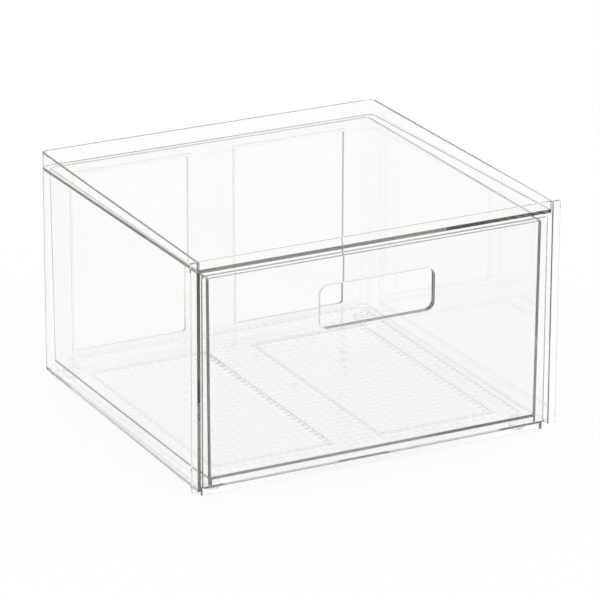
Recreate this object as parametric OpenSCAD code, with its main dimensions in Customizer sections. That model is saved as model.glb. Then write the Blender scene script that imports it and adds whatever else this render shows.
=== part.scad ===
// Stackable drawer box: a clear open-fronted case with one pull-out drawer.
// Millimetres, +Z up, front towards -Y. The origin is on the ground under the middle of the box.

/* [Case] */
// Width across the side walls at the front
case_width = 301.2; // [260:0.1:340]
// Depth from front to back
case_depth = 283; // [240:1:330]
// Height from the foot of the side walls to the top of the stacking rim
case_height = 181; // [150:1:230]
// Thickness of the side walls and the back wall
wall = 2; // [1.8:0.1:3]
// How far each side wall leans in from front to back
side_taper = 3; // [0:0.5:5]
// Outer radius of the upright corners at the back
case_corner_r = 6; // [4:0.5:8]
// Inner radius of the upright corners at the back
case_inner_r = 5.5; // [2.5:0.5:7.5]

/* [Top panel and stacking] */
// Thickness of the top panel
top_thickness = 2.5; // [2:0.1:3.5]
// Thickness of the stacking rim
rim_thickness = 2; // [2:0.1:3.2]
// Depth of the stacking recess at the front
recess_depth = 6.8; // [6.3:0.1:9]
// How far the top panel falls from front to back
top_fall = 5.2; // [0:0.1:6]
// Gap between a foot and the top panel of a box stacked below
stacking_gap = 0.4; // [0:0.1:0.7]
// How far the nesting skirt hangs below the foot of the side walls
skirt_drop = 5.3; // [3:0.1:5.5]
// Thickness of the skirt
skirt_thickness = 1.8; // [1.4:0.1:3]
// Gap between the skirt and the rim of a box stacked below
skirt_gap = 2.2; // [1.8:0.1:3]

/* [Floor] */
// Thickness of the case floor
floor_thickness = 1.8; // [1.6:0.1:3.5]

/* [Windows] */
// Width of each window in the back wall and the floor
window_width = 98; // [60:1:105]
// Bar left between the two windows
window_bar = 42; // [20:1:48]
// Height of the back windows
back_window_height = 146.5; // [60:0.5:148]
// Lower edge of the back windows above the foot of the side walls
back_window_sill = 10.5; // [6:0.5:11.5]
// Length of the floor windows from front to back
floor_window_length = 214; // [60:1:224]
// Corner radius of the windows
window_r = 2; // [1.5:0.5:10]

/* [Front flanges] */
// How far the flanges stand out from the side walls
flange_width = 5.4; // [3:0.1:10]
// Depth of the flanges
flange_depth = 2.6; // [2.2:0.1:10]
// How far the flanges and the side walls stand forward of the top panel's front edge
flange_proud = 1.7; // [0.5:0.1:2.2]
// Radius of the flanges' outer corners
flange_r = 0.4; // [0.2:0.1:1]

/* [Drawer] */
// Thickness of the front plate
front_thickness = 2.4; // [2:0.1:3]
// Gap between the front plate and each side wall
front_side_gap = 2.6; // [0.5:0.1:3.5]
// Gap between the front plate and the top panel
front_top_gap = 2.7; // [0.5:0.1:4]
// Lower edge of the front plate above the foot of the side walls
front_foot_gap = 0.6; // [0.2:0.1:1]
// Corner radius of the front plate
front_r = 2; // [1:0.5:5]
// Gap between the back of the front plate and the floor behind it
front_floor_gap = 0.5; // [0.3:0.1:1]
// Thickness of the tub's walls
tub_wall = 2.5; // [1.5:0.1:3]
// Thickness of the tub's floor
tub_floor = 1.8; // [1.5:0.1:3]
// Height of the skids: the side walls carried on below the tub's floor
skid_height = 4.4; // [1:0.1:5]
// Gap between the tub's rim and each side wall at the front
tub_side_gap = 6.8; // [5.5:0.1:9]
// Gap between the tub's rim and the back wall
tub_back_gap = 1.4; // [1.2:0.1:6]
// Running gap under the skids
tub_floor_gap = 0.3; // [0.2:0.1:0.6]
// How far the tub's rim lies below the upper edge of the front plate
tub_rim_drop = 3.2; // [2:0.1:8]
// How far the tub's side and back walls lean in from rim to floor
tub_draft = 1.4; // [0:0.1:3]
// Outer radius of the tub's upright corners at the back
tub_corner_r = 5.5; // [4:0.5:9]
// Outer radius of the tub's upright corners behind the front plate
tub_front_r = 2; // [0.5:0.1:4]

/* [Handle] */
// Width of the handle cut-out
handle_width = 97; // [70:1:130]
// Height of the handle cut-out
handle_height = 34; // [25:1:45]
// Upper edge of the handle cut-out below the upper edge of the front plate
handle_drop = 24.4; // [15:0.1:40]
// Corner radius of the handle cut-out
handle_r = 6.8; // [3:0.1:12]

/* [Feet] */
// Diameter of each foot
foot_diameter = 12.5; // [8:0.5:16]
// Rounding of the lower edge of each foot
foot_round = 1.2; // [0.5:0.1:2]
// Foot centre from the side face of the case
foot_side_inset = 19; // [16:0.1:26]
// Foot centre from the front and back of the case
foot_end_inset = 16.6; // [15:0.1:26]

/* [Hidden] */
$fn = 64;
arc_steps = 8;  // straight steps in a quarter turn of a plan corner
past = 2;       // how far a cutting shape runs past the face it cuts
sharpest_r = 0.5;  // smallest radius of an upright corner
clear_case = [0.93, 0.95, 0.95, 0.35];
clear_drawer = [0.88, 0.93, 0.96, 0.35];
milky = [0.86, 0.86, 0.84, 0.8];

front_y = (flange_proud - case_depth) / 2;  // front of the top panel and of the drawer
flange_y = front_y - flange_proud;
back_y = front_y + case_depth;
mid_y = (front_y + back_y) / 2;
foot_drop = recess_depth - stacking_gap;  // ground to the foot of the side walls
wall_foot_z = foot_drop;
rim_z = wall_foot_z + case_height;
floor_top_z = wall_foot_z + floor_thickness;
skirt_inset = rim_thickness + skirt_gap;

front_back_y = front_y + front_thickness;       // back face of the front plate
floor_front_y = front_back_y + front_floor_gap; // front edge of the floor and the skirt
front_foot_z = wall_foot_z + front_foot_gap;
front_top_z = panel_top(front_y) - top_thickness - front_top_gap;
front_width = case_width - 2 * (wall + front_side_gap);
tub_foot_z = floor_top_z + tub_floor_gap;
tub_floor_z = tub_foot_z + skid_height;
tub_rim_z = front_top_z - tub_rim_drop;
tub_back_y = back_y - wall - tub_back_gap;
handle_z = front_top_z - handle_drop - handle_height / 2;
window_x = (window_bar + window_width) / 2;

// Half the width of the case at depth y, and the height of the top panel's upper face there
function side_x(y, taper = side_taper) = case_width / 2 - taper * (y - front_y) / case_depth;
function panel_top(y) = rim_z - recess_depth - top_fall * (y - front_y) / case_depth;

// Points of a quarter turn around c, from angle a
function quarter(c, r, a) =
    [for (i = [0 : arc_steps]) c + r * [cos(a + 90 * i / arc_steps), sin(a + 90 * i / arc_steps)]];

// Two front corners of a plan, sharp or with radius r
function front_corners(inset, y0, r, taper) =
    let (c = [side_x(y0 + r, taper) - inset - r, y0 + r])
    r > 0 ? concat(quarter([-c[0], c[1]], r, 180), quarter(c, r, 270)) : [[-c[0], c[1]], c];

// Plan of the case, moved in from its side faces, between depths y0 and y1, with round back corners
module plan(inset, y0, y1, r, front_r = 0, taper = side_taper) {
    c = [side_x(y1 - r, taper) - inset - r, y1 - r];
    polygon(concat(
        front_corners(inset, y0, front_r, taper),
        quarter(c, r, 0),
        quarter([-c[0], c[1]], r, 90)));
}

module rounded_rect(w, h, r) {
    square([w - 2 * r, h], center = true);
    square([w, h - 2 * r], center = true);
    for (x = [-1, 1], y = [-1, 1])
        translate([x * (w / 2 - r), y * (h / 2 - r)]) circle(r);
}

// Stands a drawing of the front view up, from depth y towards the back
module upright(y, depth) {
    translate([0, y + depth, 0]) rotate([90, 0, 0]) linear_extrude(depth) children();
}

module side_and_back_walls() {
    translate([0, 0, wall_foot_z]) linear_extrude(case_height) difference() {
        plan(0, flange_y, back_y, case_corner_r);
        plan(wall, flange_y - past, back_y - wall, case_inner_r);
    }
}

// Sloping layer across the whole box, its faces these distances above the top panel's upper face
module sloping_layer(from, to) {
    y0 = front_y - past;
    y1 = back_y + past;
    rotate([90, 0, 90]) linear_extrude(case_width, center = true) polygon([
        [y0, panel_top(y0) + from],
        [y1, panel_top(y1) + from],
        [y1, panel_top(y1) + to],
        [y0, panel_top(y0) + to]]);
}

module top_panel() {
    intersection() {
        linear_extrude(rim_z) plan(wall / 2, front_y, back_y - wall / 2, case_corner_r - wall / 2);
        sloping_layer(-top_thickness, 0);
    }
}

// Front of the stacking rim, and the lining inside the walls where the rim is thicker than they are
module stacking_rim() {
    intersection() {
        linear_extrude(rim_z) difference() {
            plan(wall / 2, front_y, back_y - wall / 2, case_corner_r - wall / 2);
            plan(rim_thickness, front_y + rim_thickness, back_y - rim_thickness,
                 max(case_inner_r + wall - rim_thickness, sharpest_r));
        }
        sloping_layer(-top_thickness / 2, 2 * (recess_depth + top_fall));
    }
}

module case_floor() {
    translate([0, 0, wall_foot_z]) linear_extrude(floor_thickness)
        plan(wall / 2, floor_front_y, back_y - wall / 2, case_corner_r - wall / 2);
}

// Ring under the floor that nests inside the rim of the box below
module skirt() {
    outer_r = max(case_corner_r - skirt_inset, sharpest_r);
    skirt_foot_z = wall_foot_z - skirt_drop;
    translate([0, 0, skirt_foot_z]) linear_extrude(wall_foot_z + floor_thickness / 2 - skirt_foot_z)
        difference() {
            plan(skirt_inset, floor_front_y, back_y - skirt_inset, outer_r);
            plan(skirt_inset + skirt_thickness, floor_front_y + skirt_thickness,
                 back_y - skirt_inset - skirt_thickness, sharpest_r);
        }
}

// Flange along the front edge of one side wall, side = -1 left or 1 right
module front_flange(side) {
    y1 = flange_y + flange_depth;
    outer_x = case_width / 2 + flange_width;
    translate([0, 0, wall_foot_z]) linear_extrude(case_height)
        mirror([side < 0 ? 1 : 0, 0]) polygon(concat(
            [[side_x(flange_y) - wall / 2, flange_y]],
            quarter([outer_x - flange_r, flange_y + flange_r], flange_r, -90),
            quarter([outer_x - flange_r, y1 - flange_r], flange_r, 0),
            [[side_x(y1) - wall / 2, y1]]));
}

module casing_shell() {
    color(clear_case) difference() {
        union() {
            side_and_back_walls();
            front_flange(-1);
            front_flange(1);
            top_panel();
            stacking_rim();
            case_floor();
            skirt();
        }
        for (x = [-window_x, window_x]) {
            upright(back_y - wall - past, wall + 2 * past)
                translate([x, wall_foot_z + back_window_sill + back_window_height / 2])
                    rounded_rect(window_width, back_window_height, window_r);
            translate([x, mid_y, wall_foot_z - past]) linear_extrude(floor_thickness + 2 * past)
                rounded_rect(window_width, floor_window_length, window_r);
        }
    }
}

// Round foot stuck under the floor; side and end pick the corner
module foot(side, end) {
    r = foot_diameter / 2;
    y = mid_y + end * (case_depth / 2 - foot_end_inset);
    color(milky) translate([side * (side_x(y) - foot_side_inset), y, 0])
        rotate_extrude() polygon(concat(
            [[0, 0]],
            quarter([r - foot_round, foot_round], foot_round, -90),
            [[r, wall_foot_z], [0, wall_foot_z]]));
}

// Space inside or outside the tub, moved in by inset, between two heights
module tub_form(inset, z0, z1) {
    slab = 0.2;
    top_inset = wall + tub_side_gap + inset;
    height = tub_rim_z - tub_foot_z;
    r = tub_corner_r - inset;
    front_r = max(tub_front_r - inset, 0);
    hull() for (z = [z0, z1 - slab]) {
        lean = tub_draft * (tub_rim_z - z) / height;
        translate([0, 0, z]) linear_extrude(slab)
            plan(top_inset + lean, front_back_y + inset, tub_back_y - inset - lean, r, front_r,
                 taper = 0);
    }
}

module space_between_skids() {
    translate([0, 0, tub_foot_z - past]) linear_extrude(skid_height + past)
        plan(wall + tub_side_gap + tub_draft + tub_wall, front_back_y - past, tub_back_y + past, past / 2,
             taper = 0);
}

module handle_cut(y, depth) {
    upright(y - past, depth + 2 * past) translate([0, handle_z])
        rounded_rect(handle_width, handle_height, handle_r);
}

module drawer_tub() {
    color(clear_drawer) difference() {
        tub_form(0, tub_foot_z, tub_rim_z);
        tub_form(tub_wall, tub_floor_z + tub_floor, tub_rim_z + past);
        space_between_skids();
        handle_cut(front_back_y, tub_wall);
    }
}

module drawer_front() {
    plate_height = front_top_z - front_foot_z;
    color(clear_drawer) difference() {
        upright(front_y, front_thickness) translate([0, front_foot_z + plate_height / 2])
            rounded_rect(front_width, plate_height, front_r);
        handle_cut(front_y, front_thickness);
    }
}

casing_shell();
foot(-1, -1);  // foot_front_left
foot(1, -1);  // foot_front_right
foot(-1, 1);  // foot_rear_left
foot(1, 1);  // foot_rear_right
drawer_tub();
drawer_front();
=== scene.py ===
import bpy
import bmesh
import math
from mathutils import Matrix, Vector


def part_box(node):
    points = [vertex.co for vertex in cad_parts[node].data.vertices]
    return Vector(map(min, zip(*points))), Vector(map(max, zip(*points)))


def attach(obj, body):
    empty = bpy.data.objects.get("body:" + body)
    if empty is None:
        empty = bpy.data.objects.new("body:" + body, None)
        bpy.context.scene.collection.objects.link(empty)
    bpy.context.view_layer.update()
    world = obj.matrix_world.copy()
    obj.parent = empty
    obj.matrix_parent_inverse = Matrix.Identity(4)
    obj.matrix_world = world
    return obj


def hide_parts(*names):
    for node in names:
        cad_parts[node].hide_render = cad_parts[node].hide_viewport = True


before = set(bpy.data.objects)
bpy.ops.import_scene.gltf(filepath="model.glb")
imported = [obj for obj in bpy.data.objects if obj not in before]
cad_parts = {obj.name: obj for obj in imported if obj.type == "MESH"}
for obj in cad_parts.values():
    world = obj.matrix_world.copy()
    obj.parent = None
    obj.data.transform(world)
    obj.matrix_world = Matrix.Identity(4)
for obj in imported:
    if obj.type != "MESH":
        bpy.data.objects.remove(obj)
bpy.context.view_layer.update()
mm = 0.001
samePlace = 0.05 * mm  # points closer than this to a level lie on it
squareOn = 0.999       # a face whose normal has this much along an axis faces straight along it
sideOn = 0.1           # and with less than this it stands side on to it
flatAngle = 0.3        # degrees between faces that are one flat face


def linear(hexColour):
    channels = [int(hexColour[i:i + 2], 16) / 255 for i in (1, 3, 5)]
    return [c / 12.92 if c <= 0.04045 else ((c + 0.055) / 1.055) ** 2.4 for c in channels] + [1.0]


def addNode(tree, kind, settings=None, links=None):
    node = tree.nodes.new(kind)
    for key, value in (settings or {}).items():
        if isinstance(key, int) or key in node.inputs:
            node.inputs[key].default_value = value
        else:
            setattr(node, key, value)
    for key, source in (links or {}).items():
        tree.links.new(source, node.inputs[key])
    return node


def emptyTree(owner):
    owner.use_nodes = True
    owner.node_tree.nodes.clear()
    return owner.node_tree


# the operators take pieces of a mesh in the order given, so a fixed one gives the same mesh on every run
def inOrder(parts):
    def place(part):
        points = [part.co] if isinstance(part, bmesh.types.BMVert) else [v.co for v in part.verts]
        return [tuple(round(c, 7) for c in p) for p in sorted(tuple(p) for p in points)]

    return sorted(set(parts), key=place)


def joinFlat(bm, edges, degrees=flatAngle):
    bmesh.ops.dissolve_limit(bm, angle_limit=math.radians(degrees), edges=inOrder(edges),
                             verts=inOrder(v for e in edges for v in e.verts))


def cadCopy(node, weld=0.002 * mm, flat=flatAngle):
    bm = bmesh.new()
    bm.from_mesh(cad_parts[node].data)
    bmesh.ops.remove_doubles(bm, verts=bm.verts, dist=weld)
    joinFlat(bm, bm.edges, flat)
    return bm


def middleOf(face):
    return face.calc_center_median()


def edgeOnLevel(edge, axis, level):
    return all(abs(v.co[axis] - level) < samePlace for v in edge.verts)


# cuts these faces in two where they cross a place on an axis
def cutAcross(bm, faces, axis, place):
    point = Vector((0, 0, 0))
    across = Vector((0, 0, 0))
    point[axis] = place
    across[axis] = 1
    geom = inOrder(faces) + inOrder(e for f in faces for e in f.edges) \
        + inOrder(v for f in faces for v in f.verts)
    bmesh.ops.bisect_plane(bm, geom=geom, plane_co=point, plane_no=across, dist=0.001 * mm)


def roundEdges(bm, radius, steps, within=None, sharperThan=30):
    edges = [e for e in bm.edges if e.is_manifold and e.calc_face_angle(0) > math.radians(sharperThan)
             and (within is None or within(e))]
    bmesh.ops.bevel(bm, geom=edges, offset=radius, segments=steps, profile=0.5,
                    affect='EDGES', material=-1, clamp_overlap=True)


def finishPiece(bm, name, materials, node, body, smoothUnder=20):
    mesh = bpy.data.meshes.new(name)
    bm.to_mesh(mesh)
    bm.free()
    mesh.shade_smooth()
    mesh.set_sharp_from_angle(angle=math.radians(smoothUnder))
    for material in materials:
        mesh.materials.append(material)
    piece = bpy.data.objects.new(name, mesh)
    bpy.context.scene.collection.objects.link(piece)
    evenNormals = piece.modifiers.new("evenNormals", 'WEIGHTED_NORMAL')
    evenNormals.keep_sharp = True
    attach(piece, body)
    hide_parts(node)
    return piece


plastic = dict(ior=1.57, rough=0.0, lossColour="#383F00", lossPerMetre=5.0,
               ripple=55 * mm, rippleHeight=0.02 * mm, rippleDetail=1.0, rippleRough=0.4,
               gateRadius=3 * mm, gateFlat=0.6, gateDepth=0.15 * mm)


# clear polystyrene, injection moulded in a polished steel tool: glassy faces with a slight ripple, and
# edges that look dark because light seen in them has run a long way inside the wall.
# gate is the middle of the small round mark where the melt came in
def clearStyrene(name, tint, gate=None, rough=plastic["rough"]):
    material = bpy.data.materials.new(name)
    tree = emptyTree(material)
    place = addNode(tree, 'ShaderNodeTexCoord')
    ripple = addNode(tree, 'ShaderNodeTexNoise',
                     {"Scale": 1 / plastic["ripple"], "Detail": plastic["rippleDetail"],
                      "Roughness": plastic["rippleRough"]},
                     {"Vector": place.outputs["Object"]})
    bump = addNode(tree, 'ShaderNodeBump', {"Strength": 1.0, "Distance": plastic["rippleHeight"]},
                   {"Height": ripple.outputs["Fac"]})
    if gate:
        away = addNode(tree, 'ShaderNodeVectorMath', {"operation": 'DISTANCE'},
                       {0: place.outputs["Object"]})
        away.inputs[1].default_value = gate
        dimple = addNode(tree, 'ShaderNodeMapRange',
                         {"From Min": plastic["gateRadius"] * plastic["gateFlat"],
                          "From Max": plastic["gateRadius"], "To Min": 0.0, "To Max": 1.0,
                          "interpolation_type": 'SMOOTHSTEP'},
                         {"Value": away.outputs["Value"]})
        bump = addNode(tree, 'ShaderNodeBump', {"Strength": 1.0, "Distance": plastic["gateDepth"]},
                       {"Height": dimple.outputs["Result"], "Normal": bump.outputs["Normal"]})
    body = addNode(tree, 'ShaderNodeBsdfPrincipled',
                   {"Base Color": linear(tint), "Roughness": rough,
                    "IOR": plastic["ior"], "Transmission Weight": 1.0},
                   {"Normal": bump.outputs["Normal"]})
    loss = addNode(tree, 'ShaderNodeVolumeAbsorption',
                   {"Color": linear(plastic["lossColour"]), "Density": plastic["lossPerMetre"]})
    addNode(tree, 'ShaderNodeOutputMaterial', None,
            {"Surface": body.outputs["BSDF"], "Volume": loss.outputs["Volume"]})
    return material


silicone = dict(colour="#FFFFFF", ior=1.41, rough=0.15, through=0.97,
                cloud=3 * mm, cloudDetail=3.0, cloudHeight=0.05 * mm, cloudStrength=0.3)


# silicone rubber, moulded as soft bumpers: milky and a little uneven, so that what is behind one blurs
def milkySilicone():
    material = bpy.data.materials.new("milkySilicone")
    tree = emptyTree(material)
    place = addNode(tree, 'ShaderNodeTexCoord')
    cloud = addNode(tree, 'ShaderNodeTexNoise',
                    {"Scale": 1 / silicone["cloud"], "Detail": silicone["cloudDetail"]},
                    {"Vector": place.outputs["Object"]})
    bump = addNode(tree, 'ShaderNodeBump',
                   {"Strength": silicone["cloudStrength"], "Distance": silicone["cloudHeight"]},
                   {"Height": cloud.outputs["Fac"]})
    body = addNode(tree, 'ShaderNodeBsdfPrincipled',
                   {"Base Color": linear(silicone["colour"]), "Roughness": silicone["rough"],
                    "IOR": silicone["ior"], "Transmission Weight": silicone["through"]},
                   {"Normal": bump.outputs["Normal"]})
    addNode(tree, 'ShaderNodeOutputMaterial', None, {"Surface": body.outputs["BSDF"]})
    return material


case = dict(tint="#FFFFFE", edgeRadius=0.35 * mm, edgeSteps=2, rimRadius=0.7 * mm, rimSteps=3,
            frontRadius=0.08 * mm, frontLength=20 * mm, gateCentre=(1 * mm, 142.35 * mm, 95.4 * mm),
            flangeFillet=0.2 * mm, flangeDeep=3 * mm, flangeInner=152 * mm,
            windowRadius=0.2 * mm, windowSteps=3, windowRough=0.22, windowSpan=(21 * mm, 119 * mm),
            backLevel=140.35 * mm, backSpan=(16.9 * mm, 163.4 * mm), backBead=0.9 * mm,
            floorLevel=8.2 * mm, floorSpan=(-106.15 * mm, 107.85 * mm), floorBead=0.55 * mm,
            beadWidth=1.8 * mm, nearWindow=4 * mm)

bm = cadCopy("casing_shell")
caseLow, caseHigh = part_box("casing_shell")


# edges of the windows and of the beads round them, in the back wall or the floor
def windowEdge(edge):
    reach = case["nearWindow"]
    ends = [v.co for v in edge.verts]
    for flat, level, along in ((1, case["backLevel"], case["backSpan"]),
                               (2, case["floorLevel"], case["floorSpan"])):
        if all(abs(c[flat] - level) < reach and abs(c.x) < case["windowSpan"][1] + reach
               and along[0] - reach < c[3 - flat] < along[1] + reach for c in ends):
            return True
    return False


# upright edges of the side walls and the flanges at the very front
def wallFrontEdge(edge):
    ends = [v.co for v in edge.verts]
    return edgeOnLevel(edge, 1, caseLow.y) and abs(ends[0].z - ends[1].z) > case["frontLength"]


# inner corner between a flange and its side wall
def flangeCorner(edge):
    return all(v.co.y < caseLow.y + case["flangeDeep"] and abs(v.co.x) < case["flangeInner"]
               for v in edge.verts) and not edge.is_convex


def rimTopEdge(edge):
    return edgeOnLevel(edge, 2, caseHigh.z)


# raises a bead round both windows of a wall that faces along the axis flat, the side facing gives.
# lines through the middles of the windows stay in both sides of the wall, which leaves no face with a hole
def windowBead(flat, level, facing, along, height):
    acrossWindow = sum(case["windowSpan"]) / 2
    middles = ((0, -acrossWindow), (0, acrossWindow), (3 - flat, sum(along) / 2))

    def wallFaces(sides=(facing,), reach=samePlace):
        return [f for f in bm.faces if any(f.normal[flat] * side > squareOn for side in sides)
                and abs(middleOf(f)[flat] - level) < reach]

    def bothSides():
        return wallFaces((-1, 1), case["nearWindow"])

    for axis, place in middles:
        cutAcross(bm, bothSides(), axis, place)
    for mirrored in (-1, 1):
        spans = {0: sorted(mirrored * x for x in case["windowSpan"]), 3 - flat: along}
        for axis, (start, end) in spans.items():
            for place in (start - case["beadWidth"], end + case["beadWidth"]):
                cutAcross(bm, wallFaces(), axis, place)
        ring = [f for f in wallFaces()
                if all(start - case["beadWidth"] < middleOf(f)[axis] < end + case["beadWidth"]
                       for axis, (start, end) in spans.items())]
        raised = bmesh.ops.extrude_face_region(bm, geom=ring)["geom"]
        bmesh.ops.delete(bm, geom=ring, context='FACES')
        shift = Vector((0, 0, 0))
        shift[flat] = facing * height
        bmesh.ops.translate(bm, verts=[v for v in raised if isinstance(v, bmesh.types.BMVert)], vec=shift)
    joinFlat(bm, [e for f in bothSides() for e in f.edges
                  if not any(edgeOnLevel(e, axis, place) for axis, place in middles)])


windowBead(1, case["backLevel"], -1, case["backSpan"], case["backBead"])
windowBead(2, case["floorLevel"], 1, case["floorSpan"], case["floorBead"])
for face in bm.faces:
    flat = 1 if middleOf(face).y > caseHigh.y - case["nearWindow"] else 2
    if abs(face.normal[flat]) < sideOn and all(windowEdge(e) for e in face.edges):
        face.material_index = 1
roundEdges(bm, case["rimRadius"], case["rimSteps"], rimTopEdge)
roundEdges(bm, case["windowRadius"], case["windowSteps"], windowEdge)
roundEdges(bm, case["frontRadius"], case["edgeSteps"], wallFrontEdge)
roundEdges(bm, case["flangeFillet"], case["edgeSteps"], flangeCorner)
doneAlready = (rimTopEdge, windowEdge, wallFrontEdge, flangeCorner)
roundEdges(bm, case["edgeRadius"], case["edgeSteps"], lambda e: not any(done(e) for done in doneAlready))
caseClear = clearStyrene("clearStyreneCase", case["tint"], case["gateCentre"])
# the same plastic where the tool's windows shut off: left matt, so the openings show as soft grey lines
caseCut = clearStyrene("clearStyreneCaseCut", case["tint"], rough=case["windowRough"])
finishPiece(bm, "caseShell", [caseClear, caseCut], "casing_shell", "case")
print("case shell made")

foot = dict(sides=48, edgeRadius=1.6 * mm, edgeSteps=5, glueGap=0.05 * mm, smoothUnder=40)
footSoft = milkySilicone()
for corner in ("front_left", "front_right", "rear_left", "rear_right"):
    low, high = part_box("foot_" + corner)
    radius = (high.x - low.x) / 2
    tall = high.z - low.z - foot["glueGap"]
    middle = ((low.x + high.x) / 2, (low.y + high.y) / 2, low.z + tall / 2)
    bm = bmesh.new()
    bmesh.ops.create_cone(bm, cap_ends=True, segments=foot["sides"], radius1=radius, radius2=radius,
                          depth=tall)
    bmesh.ops.translate(bm, verts=bm.verts, vec=middle)
    lowRing = [e for e in bm.edges if all(v.co.z < middle[2] for v in e.verts)]
    bmesh.ops.bevel(bm, geom=lowRing, offset=foot["edgeRadius"], segments=foot["edgeSteps"], profile=0.5,
                    affect='EDGES', material=-1)
    name = "foot" + "".join(word.capitalize() for word in corner.split("_"))
    finishPiece(bm, name, [footSoft], "foot_" + corner, "case", foot["smoothUnder"])
print("feet made")

handle = dict(tint="#FFFFFF", rough=0.25, halfWidth=48.6 * mm, span=(115 * mm, 152 * mm))

# the drawer's plastic where the handle is cut through it: matt, so the slot is outlined in grey
handleCut = clearStyrene("clearStyreneDrawerCut", handle["tint"], rough=handle["rough"])


def markHandleCut(bm):
    for face in bm.faces:
        middle = middleOf(face)
        if abs(face.normal.y) < sideOn and abs(middle.x) < handle["halfWidth"] \
                and handle["span"][0] < middle.z < handle["span"][1]:
            face.material_index = 1


tub = dict(tint="#FFFFFF", weld=0.1 * mm, flat=0.8, edgeRadius=0.35 * mm, edgeSteps=2,
           bondGap=0.05 * mm, bondFace=0.02 * mm, floorThick=1.8 * mm, floorArea=0.001,
           gridPitch=7.3 * mm, gridRib=0.8 * mm, gridDepth=0.26 * mm, wholeCell=0.95,
           gateCentre=(3 * mm, 1.85 * mm, 14.7 * mm))

# the tub's front face stays a hair behind the plate it is bonded to
bm = cadCopy("drawer_tub", tub["weld"], tub["flat"])
frontY = min(v.co.y for v in bm.verts)
for v in bm.verts:
    if v.co.y < frontY + tub["bondFace"]:
        v.co.y += tub["bondGap"]
floorZ = min(middleOf(f).z for f in bm.faces if f.normal.z > squareOn and f.calc_area() > tub["floorArea"])
markHandleCut(bm)
roundEdges(bm, tub["edgeRadius"], tub["edgeSteps"],
           lambda e: not any(edgeOnLevel(e, 2, z) for z in (floorZ, floorZ - tub["floorThick"])))


def floorFaces():
    return [f for f in bm.faces if f.normal.z > squareOn and abs(middleOf(f).z - floorZ) < samePlace]


# the floor's upper face is cut into square cells, and each whole cell is pressed in a little
floorPoints = [v.co.copy() for f in floorFaces() for v in f.verts]
for axis in (0, 1):
    start = min(p[axis] for p in floorPoints)
    end = max(p[axis] for p in floorPoints)
    count = int((end - start) / 2 / tub["gridPitch"])
    for step in range(-count, count + 1):
        cutAcross(bm, floorFaces(), axis, (start + end) / 2 + step * tub["gridPitch"])
cells = [f for f in floorFaces() if len(f.verts) == 4
         and min(e.calc_length() for e in f.edges) > tub["wholeCell"] * tub["gridPitch"]]
bmesh.ops.inset_individual(bm, faces=cells, thickness=tub["gridRib"], depth=-tub["gridDepth"],
                           use_even_offset=True)
tubClear = clearStyrene("clearStyreneDrawer", tub["tint"], tub["gateCentre"])
finishPiece(bm, "drawerTub", [tubClear, handleCut], "drawer_tub", "drawer")
print("drawer tub made")

front = dict(tint="#FFFFFF", edgeRadius=0.35 * mm, edgeSteps=2)

bm = cadCopy("drawer_front")
markHandleCut(bm)
roundEdges(bm, front["edgeRadius"], front["edgeSteps"])
frontClear = clearStyrene("clearStyreneFront", front["tint"])
finishPiece(bm, "drawerFront", [frontClear, handleCut], "drawer_front", "drawer")
print("drawer front made")

ground = dict(size=12.0, drop=0.2 * mm, white="#FBFBFB", glowWhite="#FFFFFF", ownGlow=0.93,
              glowUnder=0.9, shadeX=165 * mm, shadeY=155 * mm, shadeEdge=(0.8, 1.15))
bm = bmesh.new()
bmesh.ops.create_grid(bm, x_segments=1, y_segments=1, size=ground["size"] / 2)
bmesh.ops.translate(bm, verts=bm.verts, vec=(0, 0, -ground["drop"]))
mesh = bpy.data.meshes.new("studioFloor")
bm.to_mesh(mesh)
bm.free()
studioFloor = bpy.data.objects.new("studioFloor", mesh)
bpy.context.scene.collection.objects.link(studioFloor)

# matt white paper, rolled smooth: plain white with a faint shadow under the object. Seen straight or
# through the clear plastic it glows white by itself, a little less under the object
paper = bpy.data.materials.new("whitePaperSweep")
tree = emptyTree(paper)
path = addNode(tree, 'ShaderNodeLightPath')
through = addNode(tree, 'ShaderNodeMath', {"operation": 'MAXIMUM'},
                  {0: path.outputs["Is Transmission Ray"], 1: path.outputs["Is Glossy Ray"]})
place = addNode(tree, 'ShaderNodeTexCoord')
reach = addNode(tree, 'ShaderNodeVectorMath', {"operation": 'MULTIPLY'}, {0: place.outputs["Object"]})
reach.inputs[1].default_value = (1 / ground["shadeX"], 1 / ground["shadeY"], 0)
away = addNode(tree, 'ShaderNodeVectorMath', {"operation": 'LENGTH'}, {0: reach.outputs["Vector"]})
clearOfBox = addNode(tree, 'ShaderNodeMapRange',
                     {"From Min": ground["shadeEdge"][0], "From Max": ground["shadeEdge"][1],
                      "To Min": ground["glowUnder"], "To Max": 1.0, "interpolation_type": 'SMOOTHSTEP'},
                     {"Value": away.outputs["Value"]})
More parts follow.
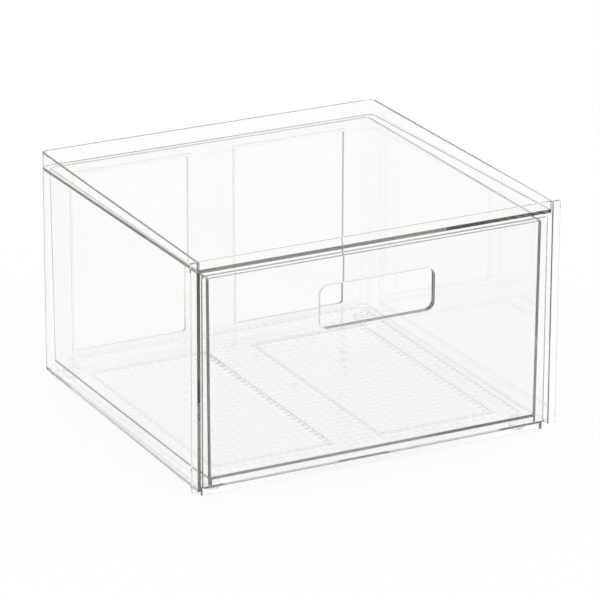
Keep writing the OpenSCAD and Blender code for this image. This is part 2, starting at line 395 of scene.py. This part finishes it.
throughShare = addNode(tree, 'ShaderNodeMath', {"operation": 'MULTIPLY'},
                       {0: through.outputs[0], 1: clearOfBox.outputs["Result"]})
direct = addNode(tree, 'ShaderNodeMath', {"operation": 'MULTIPLY', 1: ground["ownGlow"]},
                 {0: path.outputs["Is Camera Ray"]})
share = addNode(tree, 'ShaderNodeMath', {"operation": 'MAXIMUM'},
                {0: throughShare.outputs[0], 1: direct.outputs[0]})
matt = addNode(tree, 'ShaderNodeBsdfDiffuse', {"Color": linear(ground["white"])})
glow = addNode(tree, 'ShaderNodeEmission', {"Color": linear(ground["glowWhite"]), "Strength": 1.0})
both = addNode(tree, 'ShaderNodeMixShader', None,
               {0: share.outputs[0], 1: matt.outputs[0], 2: glow.outputs[0]})
addNode(tree, 'ShaderNodeOutputMaterial', None, {"Surface": both.outputs[0]})
mesh.materials.append(paper)

# a white studio on all sides, which is also the only light
studio = dict(white="#FFFFFF", strength=1.0, bounces=512, mattBounces=4)
world = bpy.data.worlds.new("softStudio")
bpy.context.scene.world = world
tree = emptyTree(world)
sky = addNode(tree, 'ShaderNodeBackground',
              {"Color": linear(studio["white"]), "Strength": studio["strength"]})
addNode(tree, 'ShaderNodeOutputWorld', None, {"Surface": sky.outputs[0]})

view = dict(lens=270.38, sensor=36.0, farthest=50, place=(-1505.72 * mm, -2910.21 * mm, 1311.59 * mm),
            turn=(69.489, -0.191, -27.403))
lens = bpy.data.cameras.new("studioCamera")
lens.lens = view["lens"]
lens.sensor_width = view["sensor"]
lens.clip_end = view["farthest"]
studioCamera = bpy.data.objects.new("studioCamera", lens)
studioCamera.location = view["place"]
studioCamera.rotation_euler = [math.radians(a) for a in view["turn"]]
bpy.context.scene.collection.objects.link(studioCamera)
bpy.context.scene.camera = studioCamera

# light that runs inside the walls meets hundreds of faces before it comes out
scene = bpy.context.scene
scene.view_settings.view_transform = 'Standard'
scene.cycles.max_bounces = studio["bounces"]
scene.cycles.transmission_bounces = studio["bounces"]
scene.cycles.glossy_bounces = studio["bounces"]
scene.cycles.diffuse_bounces = studio["mattBounces"]
print("studio made")
